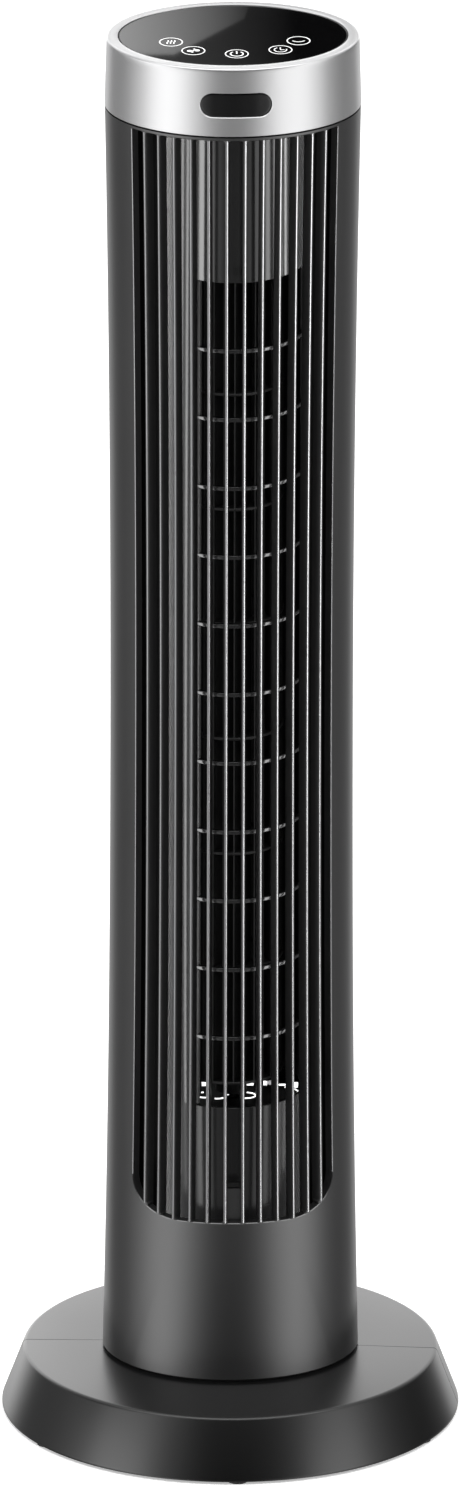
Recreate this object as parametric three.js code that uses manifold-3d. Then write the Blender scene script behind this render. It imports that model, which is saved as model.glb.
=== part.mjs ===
// A tower fan that stands on the floor: a round base in two halves, an oval column with a slatted front,
// and inside it a round drum that swings from side to side and holds the motor and a cross-flow impeller.
// Millimetres, +Z up. The origin is on the floor under the column's axis, and the front faces -Y.
import * as THREE from 'three';
import { mergeVertices } from 'three/addons/utils/BufferGeometryUtils.js';
import Module from 'manifold-3d';

const wasm = await Module();
wasm.setup();

// Driving dimensions of the whole fan
const HEIGHT = 1016;
const GAP = 0.3;
const WALL = 3;
const FAR = 400;

// Base
const BASE_R = 158;
const RIM_R = 142.6;
const BASE_TOP = 45;
const FLOOR_GAP = 2;
const BASE_HOLE_R = 34;
const SPLIT_GAP = 0.4;
const PAD_R = 7;
const PAD_CIRCLE_R = 149.5;
const PAD_COUNT = 6;

// Column: its half width is least at the waist and grows to both ends. Its section is an oval, which
// grows deeper near the foot.
const COLUMN_LOW = 47.3;
const COLUMN_HIGH = 965.6;
const WAIST_Z = 500;
const WAIST_HALF = 84.1;
const TOP_FLARE = 4.8;
const TOP_POWER = 2;
const FOOT_FLARE = 4.4;
const FOOT_POWER = 2.4;
const OVAL = 0.745;
const FOOT_DEPTH = 0.18;
const DEPTH_POWER = 6;
const COLUMN_ROWS = [COLUMN_LOW, 90, 140, 280, WAIST_Z, 735, COLUMN_HIGH];
const OVAL_SIDES = 40;
const GRILLE_SIDES = 24;
const DRUM_SIDES = 36;
const SEAM_Y = 6;

// Slatted opening in the front of the column
const OPENING_HALF = 70;
const OPENING_LOW = 157;
const OPENING_HIGH = 962.5;
const OPENING_CORNER = 26;
const SLAT_COUNT = 12;
const SLAT_STEP = THREE.MathUtils.degToRad(8.3);
const SLAT_WIDTH = 2.4;
const SLAT_DEPTH = 8;
const SLAT_OVERLAP = 1;

// Air intake in the rear of the column
const INTAKE_HALF = 58;
const INTAKE_LOW = 196;
const INTAKE_HIGH = 900;
const INTAKE_CORNER = 12;
const INTAKE_BARS = 7;
const INTAKE_BANDS = 3;
const INTAKE_BAR_WIDTH = 2.2;
const INTAKE_BAND_HEIGHT = 5;

// Trim ring, touch panel and display window at the top
const RING_LOW = 966;
const RING_HALF_LOW = 89.1;
const RING_HALF_TOP = 87.8;
const RING_OVAL = 0.752;
const PANEL_HALF_X = 79.9;
const PANEL_HALF_Y = 57.9;
const PANEL_TOP = HEIGHT - 0.5;
const PANEL_THICK = 3;
const LEDGE_TOP = 1000;
const WINDOW_Z = 989;
const WINDOW_WIDTH = 50;
const WINDOW_HEIGHT = 17.6;
const KEY_SPOTS = [[-43.4, -11], [-28.5, -28], [1.4, -35], [31.9, -28], [45, -11]];

// Swinging drum: angles are measured about +Z from the front, positive towards +X
const DRUM_R = 52;
const DRUM_WALL = 2;
const DRUM_LOW = 118.6;
const DRUM_HIGH = 961;
const OUTLET_LOW = 239;
const OUTLET_HIGH = 851.6;
const OUTLET_FROM = THREE.MathUtils.degToRad(-31);
const OUTLET_TO = THREE.MathUtils.degToRad(80);
const DRUM_INTAKE_FROM = THREE.MathUtils.degToRad(135);
const DRUM_INTAKE_TO = THREE.MathUtils.degToRad(280);
const RUNG_COUNT = 11;
const RUNG_HEIGHT = 3;
const SHAFT_R = 4;
const PIVOT_R = 8;

// Impeller
const IMPELLER_R = 36;
const IMPELLER_LOW = 246;
const IMPELLER_HIGH = 840;
const BLADE_COUNT = 12;
const BLADE_CHORD = 8;
const BLADE_THICK = 1;
const BLADE_PITCH = THREE.MathUtils.degToRad(58);
const IMPELLER_DISCS = 3;

// Swing gears: equal module, with the pinion on the -X side of the drum's gear
const GEAR_MODULE = 2;
const DRUM_TEETH = 36;
const PINION_TEETH = 12;
const GEAR_LOW = 105;
const GEAR_HIGH = 113;
const BRACKET_LOW = 96;
const BRACKET_HIGH = 99;
const SWING_X = -GEAR_MODULE * (DRUM_TEETH + PINION_TEETH) / 2;

// Screws
const COLUMN_SCREW_INSET = 8;
const COLUMN_SCREW_ZS = [80, 505, 925];
const COLUMN_SCREW_SEAT_Y = 16;
const BASE_SCREW_X = 48;
const BASE_SCREW_Y = 26;

// Bush for the mains lead, low on the rear of the column
const GLAND_Z = 78;
const GLAND_R = 7.5;

const charcoal = { color: 0x2b2b2d, roughness: 0.5, metalness: 0.1 };
const drumGrey = { color: 0x47484a, roughness: 0.42, metalness: 0.2 };
const silver = { color: 0xa9aaac, roughness: 0.3, metalness: 0.9 };
const blackGlass = { color: 0x060607, roughness: 0.06, metalness: 0 };
const blackPlastic = { color: 0x101011, roughness: 0.55, metalness: 0 };
const rubber = { color: 0x151515, roughness: 0.9, metalness: 0 };
const steel = { color: 0xb4b6b8, roughness: 0.35, metalness: 1 };
const greenBoard = { color: 0x1c5a36, roughness: 0.6, metalness: 0 };
const whiteAcetal = { color: 0xe6e4de, roughness: 0.5, metalness: 0 };

const group = new THREE.Group();
const housing = new THREE.Group();
const drum = new THREE.Group();
group.add(housing, drum);

// Turns a closed geometry into a solid that can be joined and cut.
function solid(geometry) {
  const bare = geometry.clone();
  bare.deleteAttribute('normal');
  bare.deleteAttribute('uv');
  const merged = mergeVertices(bare);
  const corners = merged.index.array;
  const triVerts = [];
  for (let i = 0; i < corners.length; i += 3) {
    const triangle = [corners[i], corners[i + 1], corners[i + 2]];
    if (new Set(triangle).size === 3) triVerts.push(...triangle);
  }
  return new wasm.Manifold(new wasm.Mesh({
    numProp: 3,
    vertProperties: new Float32Array(merged.attributes.position.array),
    triVerts: new Uint32Array(triVerts),
  }));
}

// Adds a solid to a group as a named mesh, moved to a place where one is given.
function add(parent, name, shape, finish, place = [0, 0, 0]) {
  const { vertProperties, triVerts } = shape.getMesh();
  const geometry = new THREE.BufferGeometry();
  geometry.setAttribute('position', new THREE.BufferAttribute(vertProperties, 3));
  geometry.setIndex(new THREE.BufferAttribute(triVerts, 1));
  const mesh = new THREE.Mesh(geometry, new THREE.MeshStandardMaterial(finish));
  mesh.name = name;
  mesh.position.set(...place);
  parent.add(mesh);
}

// A turned solid from a profile of [radius, z] points, anticlockwise, squashed along Y by a factor.
function turned(profile, sides = 32, squash = 1) {
  const points = profile.map(([r, z]) => new THREE.Vector2(r, z));
  return solid(new THREE.LatheGeometry(points, sides).rotateX(Math.PI / 2).scale(1, squash, 1));
}

// A round ring or, with no inner radius, a disc.
function ring(inner, outer, low, high, sides = 24) {
  if (inner === 0) return turned([[0, low], [outer, low], [outer, high], [0, high]], sides);
  return turned([[inner, low], [outer, low], [outer, high], [inner, high], [inner, low]], sides);
}

// A box given by its lowest and highest corners.
function block(low, high) {
  const size = high.map((value, axis) => value - low[axis]);
  const middle = high.map((value, axis) => (value + low[axis]) / 2);
  return solid(new THREE.BoxGeometry(...size).translate(...middle));
}

// A plan outline raised from one height to another.
function raised(shape, low, high, curveSegments = 12) {
  const options = { depth: high - low, bevelEnabled: false, curveSegments };
  return solid(new THREE.ExtrudeGeometry(shape, options).translate(0, 0, low));
}

// A front-view outline, in x and z, pushed through from one y to another.
function pushed(shape, front, back, curveSegments = 5) {
  const options = { depth: back - front, bevelEnabled: false, curveSegments };
  return solid(new THREE.ExtrudeGeometry(shape, options).rotateX(Math.PI / 2).translate(0, back, 0));
}

// A rod along Y.
function rodY(radius, x, front, back, z, sides = 10) {
  const geometry = new THREE.CylinderGeometry(radius, radius, back - front, sides);
  return solid(geometry.translate(x, (front + back) / 2, z));
}

// An upright rectangle with separate radii for its lower and upper corners.
function roundedRectangle(half, low, high, lowRadius, highRadius) {
  const shape = new THREE.Shape();
  shape.moveTo(-half + lowRadius, low);
  shape.lineTo(half - lowRadius, low);
  shape.absarc(half - lowRadius, low + lowRadius, lowRadius, -Math.PI / 2, 0);
  shape.absarc(half - highRadius, high - highRadius, highRadius, 0, Math.PI / 2);
  shape.absarc(-half + highRadius, high - highRadius, highRadius, Math.PI / 2, Math.PI);
  shape.absarc(-half + lowRadius, low + lowRadius, lowRadius, Math.PI, Math.PI * 1.5);
  return shape;
}

// A sector of a ring between two angles from the front, raised between two heights.
function sector(inner, outer, from, to, low, high, steps = 10) {
  const shape = new THREE.Shape();
  shape.absarc(0, 0, outer, from - Math.PI / 2, to - Math.PI / 2, false);
  shape.absarc(0, 0, inner, to - Math.PI / 2, from - Math.PI / 2, true);
  return raised(shape, low, high, steps);
}

// The column's half width at a height.
function columnHalf(z) {
  if (z > WAIST_Z) return WAIST_HALF + TOP_FLARE * ((z - WAIST_Z) / (COLUMN_HIGH - WAIST_Z)) ** TOP_POWER;
  return WAIST_HALF + FOOT_FLARE * ((WAIST_Z - z) / (WAIST_Z - COLUMN_LOW)) ** FOOT_POWER;
}

// How much deeper than the plain oval the column is at a height.
function depthGain(z) {
  if (z > WAIST_Z) return 1;
  return 1 + FOOT_DEPTH * ((WAIST_Z - z) / (WAIST_Z - COLUMN_LOW)) ** DEPTH_POWER;
}

// The column's half depth at a height.
function columnDepth(z) {
  return columnHalf(z) * OVAL * depthGain(z);
}

// The solid inside a surface that lies a given depth inside the column's outer surface.
function columnCore(depth, sides = OVAL_SIDES) {
  const rows = COLUMN_ROWS.map((z) => [columnHalf(z) - depth, z]);
  const squash = (WAIST_HALF * OVAL - depth) / (WAIST_HALF - depth);
  const plain = turned([[0, COLUMN_LOW], ...rows, [0, COLUMN_HIGH]], sides, squash);
  return plain.warp((point) => {
    point[1] *= depthGain(point[2]);
  });
}

// The column's skin, a given thickness deep, between two heights.
function columnSkin(depth, low, high, sides = OVAL_SIDES) {
  const shell = columnCore(0, sides).subtract(columnCore(depth, sides));
  return shell.intersect(block([-FAR, -FAR, low], [FAR, FAR, high]));
}

// An upright slab from the column's axis outwards, at an angle from the front.
function slab(width, angle, low, high) {
  const geometry = new THREE.BoxGeometry(width, FAR, high - low);
  return solid(geometry.translate(0, -FAR / 2, (low + high) / 2).rotateZ(angle));
}

// A flat oval plate.
function ovalPlate(halfX, halfY, low, high) {
  return turned([[0, low], [halfX, low], [halfX, high], [0, high]], OVAL_SIDES, halfY / halfX);
}

// A gear as an outline of tapered teeth with ample backlash, the first tooth at an angle from +X.
function gearOutline(teeth, firstTooth) {
  const pitchR = GEAR_MODULE * teeth / 2;
  const rootR = pitchR - 1.25 * GEAR_MODULE;
  const tipR = pitchR + 0.9 * GEAR_MODULE;
  const rootHalf = 0.8 * GEAR_MODULE / rootR;
  const tipHalf = 0.3 * GEAR_MODULE / tipR;
  const points = [];
  for (let i = 0; i < teeth; i += 1) {
    const middle = firstTooth + 2 * Math.PI * i / teeth;
    for (const [r, turn] of [[rootR, -rootHalf], [tipR, -tipHalf], [tipR, tipHalf], [rootR, rootHalf]]) {
      points.push(new THREE.Vector2(r * Math.cos(middle + turn), r * Math.sin(middle + turn)));
    }
  }
  return new THREE.Shape(points);
}

// A screw along +Z, head first from z = 0: head radius and height, then shank radius and whole length.
function screw(headR, headHigh, shankR, length) {
  const profile = [[0, 0], [headR, 0], [headR, headHigh], [shankR, headHigh], [shankR, length], [0, length]];
  return turned(profile, 10);
}

// The base's section, turned whole and then parted into a front and a rear half.
function addBase() {
  const profile = [
    [BASE_R, FLOOR_GAP], [BASE_R, FLOOR_GAP + 2], [RIM_R + 1, BASE_TOP - 4], [RIM_R, BASE_TOP - 1.9],
    [RIM_R - 2.4, BASE_TOP - 0.7], [RIM_R - 54, BASE_TOP], [BASE_HOLE_R, BASE_TOP],
    [BASE_HOLE_R, BASE_TOP - WALL], [RIM_R - 5, BASE_TOP - WALL - 0.8], [RIM_R - 3.6, BASE_TOP - WALL - 1.8],
    [BASE_R - 5.2, FLOOR_GAP + WALL], [BASE_R - 17, FLOOR_GAP + WALL], [BASE_R - 17, FLOOR_GAP],
    [BASE_R, FLOOR_GAP],
  ];
  const whole = turned(profile, 48);
  const hole = ring(0, 2.6, BASE_TOP - 8, BASE_TOP + 2, 8);
  const drilled = baseScrewSpots().reduce((body, [x, y]) => body.subtract(hole.translate(x, y, 0)), whole);
  const front = block([-FAR, -FAR, -1], [FAR, -SPLIT_GAP / 2, BASE_TOP + 1]);
  const rear = block([-FAR, SPLIT_GAP / 2, -1], [FAR, FAR, BASE_TOP + 1]);
  add(housing, 'base_front', drilled.intersect(front), charcoal);
  add(housing, 'base_rear', drilled.intersect(rear), charcoal);
}

function addFootPads() {
  for (let i = 0; i < PAD_COUNT; i += 1) {
    const angle = 2 * Math.PI * (i + 0.5) / PAD_COUNT;
    const place = [PAD_CIRCLE_R * Math.cos(angle), PAD_CIRCLE_R * Math.sin(angle), 0];
    add(housing, `foot_pad_${i + 1}`, ring(0, PAD_R, 0, FLOOR_GAP - GAP, 14), rubber, place);
  }
}

function baseScrewSpots() {
  return [[-1, -1], [1, -1], [1, 1], [-1, 1]].map(([x, y]) => [x * BASE_SCREW_X, y * BASE_SCREW_Y]);
}

function addBaseScrews() {
  baseScrewSpots().forEach(([x, y], i) => {
    add(housing, `base_screw_${i + 1}`, screw(4.2, 3, 2, 19), steel, [x, y, BASE_TOP - WALL - 3 - GAP]);
  });
}

// The plug at the column's lower end, which stands on the base and holds the four base screws.
function addColumnFoot() {
  const plugHigh = COLUMN_LOW + 15;
  const half = columnHalf(COLUMN_LOW);
  const depth = columnDepth(COLUMN_LOW);
  const inset = WALL + 0.8;
  const depthHigh = columnDepth(plugHigh) - inset - 1;
  const lip = ovalPlate(half - 2.4, depth - 2.4, BASE_TOP + GAP, COLUMN_LOW - GAP);
  const plug = ovalPlate(half - inset, depthHigh, COLUMN_LOW - 1, plugHigh);
  const cable = ring(0, 16, BASE_TOP - 1, plugHigh + 2, 16);
  const pilot = ring(0, 2.4, BASE_TOP - 1, BASE_TOP + 14, 8);
  const whole = lip.add(plug).subtract(cable);
  const drilled = baseScrewSpots().reduce((body, [x, y]) => body.subtract(pilot.translate(x, y, 0)), whole);
  add(housing, 'column_foot', drilled, blackPlastic);
}

// Posts inside one shell of the column for the screws that hold both shells together.
function screwPosts(front, back, radius) {
  return columnScrewSpots().map(([x, z]) => rodY(radius, x, front, back, z));
}

function columnScrewSpots() {
  return COLUMN_SCREW_ZS.flatMap((z) => {
    const x = columnHalf(z) - COLUMN_SCREW_INSET;
    return [[-x, z], [x, z]];
  });
}

function addFrontHousing() {
  const core = columnCore(0);
  const half = block([-FAR, -FAR, 0], [FAR, SEAM_Y - GAP / 2, HEIGHT]);
  const opening = roundedRectangle(OPENING_HALF, OPENING_LOW, OPENING_HIGH, OPENING_CORNER, 6);
  let body = columnSkin(WALL, COLUMN_LOW, COLUMN_HIGH).intersect(half).subtract(pushed(opening, -FAR, -2));
  const posts = screwPosts(SEAM_Y - 16, SEAM_Y - GAP / 2, 4.6);
  for (const post of posts) body = body.add(post.intersect(core));
  for (const pilot of screwPosts(SEAM_Y - 12, SEAM_Y + 2, 1.8)) body = body.subtract(pilot);
  const slatLow = OPENING_LOW - SLAT_OVERLAP;
  const slatHigh = OPENING_HIGH + SLAT_OVERLAP;
  const slatSkin = columnSkin(SLAT_DEPTH, slatLow, slatHigh, GRILLE_SIDES);
  for (let i = 0; i < SLAT_COUNT; i += 1) {
    const onOval = (i - (SLAT_COUNT - 1) / 2) * SLAT_STEP;
    const angle = Math.atan(Math.tan(onOval) / OVAL);
    body = body.add(slatSkin.intersect(slab(SLAT_WIDTH, angle, slatLow, slatHigh)));
  }
  add(housing, 'front_housing', body, charcoal);
}

function addRearHousing() {
  const core = columnCore(0);
  const half = block([-FAR, SEAM_Y + GAP / 2, 0], [FAR, FAR, HEIGHT]);
  const intake = roundedRectangle(INTAKE_HALF, INTAKE_LOW, INTAKE_HIGH, INTAKE_CORNER, INTAKE_CORNER);
  let body = columnSkin(WALL, COLUMN_LOW, COLUMN_HIGH).intersect(half).subtract(pushed(intake, 20, FAR));
  for (const post of screwPosts(SEAM_Y + GAP / 2, FAR / 4, 6)) body = body.add(post.intersect(core));
  for (const bore of screwPosts(0, FAR / 4, 2)) body = body.subtract(bore);
  for (const seat of screwPosts(COLUMN_SCREW_SEAT_Y, FAR / 4, 4.4)) body = body.subtract(seat);
  body = body.subtract(rodY(GLAND_R + GAP, 0, 30, FAR / 4, GLAND_Z, 14));
  add(housing, 'rear_housing', body, charcoal);
}

// The guard in the intake: a frame of upright bars tied by level bands.
function addIntakeGrille() {
  const low = INTAKE_LOW + GAP;
  const high = INTAKE_HIGH - GAP;
  const corner = INTAKE_CORNER - GAP;
  const outer = pushed(roundedRectangle(INTAKE_HALF - GAP, low, high, corner, corner), 20, FAR);
  const inner = pushed(roundedRectangle(INTAKE_HALF - 5, low + 5, high - 5, 8, 8), 20, FAR);
  const skin = columnSkin(WALL, INTAKE_LOW, INTAKE_HIGH, GRILLE_SIDES).intersect(outer);
  let body = skin.subtract(inner);
  for (let i = 0; i < INTAKE_BARS; i += 1) {
    const x = (i - (INTAKE_BARS - 1) / 2) * 2 * (INTAKE_HALF - 3) / (INTAKE_BARS + 1);
    const bar = block([x - INTAKE_BAR_WIDTH / 2, 20, low + 2], [x + INTAKE_BAR_WIDTH / 2, FAR, high - 2]);
    body = body.add(skin.intersect(bar));
  }
  for (let i = 1; i <= INTAKE_BANDS; i += 1) {
    const z = low + (high - low) * i / (INTAKE_BANDS + 1);
    const rise = INTAKE_BAND_HEIGHT / 2;
    const band = block([-INTAKE_HALF, 20, z - rise], [INTAKE_HALF, FAR, z + rise]);
    body = body.add(skin.intersect(band));
  }
  add(housing, 'intake_grille', body, charcoal);
}

function addColumnScrews() {
  columnScrewSpots().forEach(([x, z], i) => {
    const turnedScrew = screw(3.8, 2.6, 1.5, 22).rotate([90, 0, 0]);
    add(housing, `rear_screw_${i + 1}`, turnedScrew, steel, [x, COLUMN_SCREW_SEAT_Y + 2.6 + GAP, z]);
  });
}

function addCordGland() {
  const wallY = columnDepth(GLAND_Z);
  const sleeve = rodY(GLAND_R, 0, wallY - 8, wallY + 2, GLAND_Z, 14);
  const flange = rodY(GLAND_R + 2, 0, wallY + 1.7, wallY + 4.5, GLAND_Z, 14);
  const bore = rodY(3.8, 0, wallY - 12, wallY + 6, GLAND_Z, 10);
  add(housing, 'cord_gland', sleeve.add(flange).subtract(bore), rubber);
}

function addTrimRing() {
  const outer = turned([
    [0, RING_LOW], [RING_HALF_LOW, RING_LOW], [RING_HALF_TOP, HEIGHT - 1.6],
    [RING_HALF_TOP - 0.5, HEIGHT - 0.5], [RING_HALF_TOP - 1.6, HEIGHT], [0, HEIGHT],
  ], OVAL_SIDES, RING_OVAL);
  const throat = ovalPlate(PANEL_HALF_X, PANEL_HALF_Y, LEDGE_TOP, HEIGHT + 1);
  const below = ovalPlate(PANEL_HALF_X, PANEL_HALF_Y, RING_LOW - 1, LEDGE_TOP - 3);
  const through = ovalPlate(PANEL_HALF_X - 6, PANEL_HALF_Y - 6, RING_LOW - 1, HEIGHT + 1);
  const eye = pushed(windowOutline(0), -FAR, -30);
  add(housing, 'trim_ring', outer.subtract(throat).subtract(below).subtract(through).subtract(eye), silver);
}

// The stadium outline of the display window, less an inset all round.
function windowOutline(inset) {
  const r = WINDOW_HEIGHT / 2 - inset;
  return roundedRectangle(WINDOW_WIDTH / 2 - inset, WINDOW_Z - r, WINDOW_Z + r, r - 0.01, r - 0.01);
}

function addDisplay() {
  const outer = turned([
    [0, RING_LOW], [RING_HALF_LOW - 0.8, RING_LOW], [RING_HALF_TOP - 0.8, HEIGHT], [0, HEIGHT],
  ], OVAL_SIDES, RING_OVAL);
  const lens = outer.subtract(ovalPlate(PANEL_HALF_X + 4, PANEL_HALF_Y + 4, RING_LOW - 1, HEIGHT + 1));
  add(housing, 'display_window', lens.intersect(pushed(windowOutline(GAP), -FAR, -30)), blackGlass);
  add(housing, 'display_board', block([-30, -50, WINDOW_Z - 13], [30, -48.4, WINDOW_Z + 6]), greenBoard);
  add(housing, 'ir_receiver', block([14, -54.2, WINDOW_Z - 6], [20, -50 - GAP, WINDOW_Z + 2]), blackPlastic);
}

// The glass touch panel, the tray that holds it, the board under it and a contact spring under each key.
function addControls() {
  const glassLow = PANEL_TOP - PANEL_THICK;
  const glass = ovalPlate(PANEL_HALF_X - GAP, PANEL_HALF_Y - GAP, glassLow, PANEL_TOP);
  add(housing, 'touch_panel', glass, blackGlass);
  const trayFloor = LEDGE_TOP + GAP;
  const tray = ovalPlate(PANEL_HALF_X - GAP, PANEL_HALF_Y - GAP, trayFloor, glassLow - GAP);
  const hollow = ovalPlate(PANEL_HALF_X - 4, PANEL_HALF_Y - 4, trayFloor + 1.7, glassLow + 1);
  add(housing, 'panel_tray', tray.subtract(hollow), blackPlastic);
  add(housing, 'control_board', block([-52, -38, trayFloor + 2], [52, 4, trayFloor + 3.6]), greenBoard);
  KEY_SPOTS.forEach(([x, y], i) => {
    const spring = ring(3, 4.2, trayFloor + 3.9, glassLow - GAP, 10);
    add(housing, `touch_spring_${i + 1}`, spring, steel, [x, y, 0]);
  });
}

// The plates that carry the drum at its top and bottom, with their bearings.
function addBrackets() {
  const plateLow = RING_LOW + 4;
  const topPlate = ovalPlate(PANEL_HALF_X - GAP, PANEL_HALF_Y - GAP, plateLow, plateLow + 3);
  add(housing, 'top_bracket', topPlate.subtract(ring(0, 12, plateLow - 1, plateLow + 4)), blackPlastic);
  add(housing, 'top_bush', ring(PIVOT_R + 0.4, 11.7, plateLow - 1, plateLow + 6), whiteAcetal);
  const lowHalf = columnHalf(BRACKET_LOW) - WALL - 0.8;
  const lowPlate = ovalPlate(lowHalf, columnDepth(BRACKET_HIGH) - WALL - 2, BRACKET_LOW, BRACKET_HIGH)
    .subtract(ring(0, 14.4, 80, 120, 24))
    .subtract(ring(0, 4.2, 80, 120, 16).translate(SWING_X, 0, 0));
  add(housing, 'lower_bracket', lowPlate, blackPlastic);
  add(housing, 'bottom_bearing', ring(14.4, 24, BRACKET_HIGH + GAP, GEAR_LOW - GAP, 24), whiteAcetal);
}

function addSwingDrive() {
  const top = BRACKET_LOW - GAP;
  const can = ring(0, 25, top - 21, top - 1, 24).add(ring(0, 6, top - 2, top, 20));
  add(housing, 'swing_motor', can, steel, [SWING_X, 0, 0]);
  const shaft = ring(0, SHAFT_R - 0.4, top + GAP, GEAR_LOW + 1, 16);
  const teeth = raised(gearOutline(PINION_TEETH, Math.PI / PINION_TEETH), GEAR_LOW, GEAR_HIGH);
  const pinion = new THREE.Group();
  group.add(pinion);
  add(pinion, 'swing_pinion', teeth.add(shaft), whiteAcetal, [SWING_X, 0, 0]);
}

function addPowerBoard() {
  add(housing, 'power_board', block([10, -28, 72], [66, 24, 73.6]), greenBoard);
}

// The drum: a tube with the air outlet at the front and the air intake behind, closed by two caps.
function addDrum() {
  const tube = ring(DRUM_R - DRUM_WALL, DRUM_R, DRUM_LOW, DRUM_HIGH, DRUM_SIDES);
  const cut = (from, to) => sector(DRUM_R - 8, DRUM_R + 8, from, to, OUTLET_LOW, OUTLET_HIGH, 12);
  const outlet = cut(OUTLET_FROM, OUTLET_TO);
  const intake = cut(DRUM_INTAKE_FROM, DRUM_INTAKE_TO);
  add(drum, 'drum_shell', tube.subtract(outlet).subtract(intake), drumGrey);
  const topDisc = ring(0, DRUM_R, DRUM_HIGH + GAP, DRUM_HIGH + 4, DRUM_SIDES);
  const topCap = topDisc.add(ring(0, PIVOT_R, DRUM_HIGH + 2, RING_LOW + 12));
  add(drum, 'drum_top_cap', topCap, drumGrey);
  const lowCap = ring(10, DRUM_R, GEAR_HIGH + GAP, DRUM_LOW - GAP, DRUM_SIDES);
  add(drum, 'drum_bottom_cap', lowCap, drumGrey);
  const gear = raised(gearOutline(DRUM_TEETH, 0), GEAR_LOW, GEAR_HIGH).add(ring(0, 14, 92, GEAR_LOW + 1, 24));
  add(drum, 'drum_gear', gear.subtract(ring(0, 10, 90, 120, 20)), whiteAcetal);
}

// The guard in the drum's outlet: level rungs on two upright rails.
function addOutletGrid() {
  const edge = THREE.MathUtils.degToRad(0.5);
  const rail = THREE.MathUtils.degToRad(2);
  const from = OUTLET_FROM + edge;
  const to = OUTLET_TO - edge;
  const upright = (start) => (
    sector(DRUM_R - 4, DRUM_R - 1.2, start, start + rail, OUTLET_LOW + 1, OUTLET_HIGH - 1, 1)
  );
  let body = upright(from).add(upright(to - rail));
  for (let i = 1; i <= RUNG_COUNT; i += 1) {
    const z = OUTLET_LOW + (OUTLET_HIGH - OUTLET_LOW) * i / (RUNG_COUNT + 1);
    const rise = RUNG_HEIGHT / 2;
    body = body.add(sector(DRUM_R - 3.6, DRUM_R - 0.4, from, to, z - rise, z + rise, 5));
  }
  add(drum, 'outlet_grid', body, drumGrey);
}

// The two upright walls that make the impeller blow forwards.
function addAirWalls() {
  const low = OUTLET_LOW + 2;
  const high = OUTLET_HIGH - 4;
  const steps = 8;
  const from = THREE.MathUtils.degToRad(84);
  const to = THREE.MathUtils.degToRad(170);
  const path = (side) => Array.from({ length: steps + 1 }, (_, i) => {
    const angle = from + (to - from) * i / steps - Math.PI / 2;
    const r = DRUM_R - DRUM_WALL - 1 - 9 * i / steps - side;
    return new THREE.Vector2(r * Math.cos(angle), r * Math.sin(angle));
  });
  const outline = new THREE.Shape([...path(0), ...path(1.6).reverse()]);
  add(drum, 'scroll_wall', raised(outline, low, high), blackPlastic);
  const tongue = new THREE.BoxGeometry(1.6, 10, high - low).translate(0, -43.5, (low + high) / 2);
  add(drum, 'vortex_wall', solid(tongue.rotateZ(OUTLET_FROM - 0.08)), blackPlastic);
}

// The fan motor under the outlet, its mounting plate and screws, and the bulkhead over the outlet.
function addMotor() {
  const can = turned([
    [5, 160], [30, 160], [38, 166], [38, 218], [30, 224], [5, 224], [5, 221], [36, 216], [36, 168],
    [5, 163], [5, 160],
  ], 20);
  add(drum, 'fan_motor', can, steel);
  add(drum, 'motor_stator', ring(27, 35, 176, 208, 20), blackPlastic);
  const spots = [0, 1, 2].map((i) => [33 * Math.sin(2.1 * i), -33 * Math.cos(2.1 * i)]);
  const plate = ring(6, DRUM_R - DRUM_WALL - 0.5, 225, 228, 28);
  const bores = spots.map(([x, y]) => ring(0, 2.4, 220, 232, 8).translate(x, y, 0));
  add(drum, 'motor_mount', bores.reduce((body, bore) => body.subtract(bore), plate), steel);
  spots.forEach(([x, y], i) => {
    const seat = 228 + GAP;
    add(drum, `motor_screw_${i + 1}`, screw(4.4, 3, 2, 6).rotate([180, 0, 0]), steel, [x, y, seat + 3]);
  });
  const bulkhead = ring(9, DRUM_R - DRUM_WALL - 0.5, OUTLET_HIGH, OUTLET_HIGH + 3, 28);
  add(drum, 'upper_bulkhead', bulkhead, blackPlastic);
  add(drum, 'impeller_bush', ring(SHAFT_R + 0.4, 8.7, OUTLET_HIGH - 2, OUTLET_HIGH + 6, 20), rubber);
}

// The rotating assembly inside the drum.
function addImpeller() {
  const spin = new THREE.Group();
  drum.add(spin);
  let body = ring(0, SHAFT_R, IMPELLER_HIGH - 4, OUTLET_HIGH + 9, 16);
  for (let i = 0; i < IMPELLER_DISCS; i += 1) {
    const z = IMPELLER_LOW + (IMPELLER_HIGH - 2 - IMPELLER_LOW) * i / (IMPELLER_DISCS - 1);
    const isEnd = i === 0 || i === IMPELLER_DISCS - 1;
    body = body.add(ring(isEnd ? 0 : IMPELLER_R - 11, IMPELLER_R, z, z + 2, 24));
  }
  for (let i = 0; i < BLADE_COUNT; i += 1) {
    const height = IMPELLER_HIGH - IMPELLER_LOW - 2;
    const blade = new THREE.BoxGeometry(BLADE_THICK, BLADE_CHORD, height).rotateZ(BLADE_PITCH);
    blade.translate(0, -IMPELLER_R + BLADE_CHORD / 2, IMPELLER_LOW + 1 + height / 2);
    body = body.add(solid(blade.rotateZ(2 * Math.PI * i / BLADE_COUNT)));
  }
  add(spin, 'impeller', body, blackPlastic);
  const rotor = turned([
    [0, 155], [SHAFT_R, 155], [SHAFT_R, 176], [26, 176], [26, 208], [SHAFT_R, 208], [SHAFT_R, 245], [0, 245],
  ], 16);
  add(spin, 'motor_rotor', rotor, steel);
  add(spin, 'coupling_hub', ring(SHAFT_R + GAP, 11, 234, 245, 16), rubber);
}

addBase();
addFootPads();
addBaseScrews();
addColumnFoot();
addFrontHousing();
addRearHousing();
addIntakeGrille();
addColumnScrews();
addCordGland();
addTrimRing();
addDisplay();
addControls();
addBrackets();
addSwingDrive();
addPowerBoard();
addDrum();
addOutletGrid();
addAirWalls();
addMotor();
addImpeller();

export default group;
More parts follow.
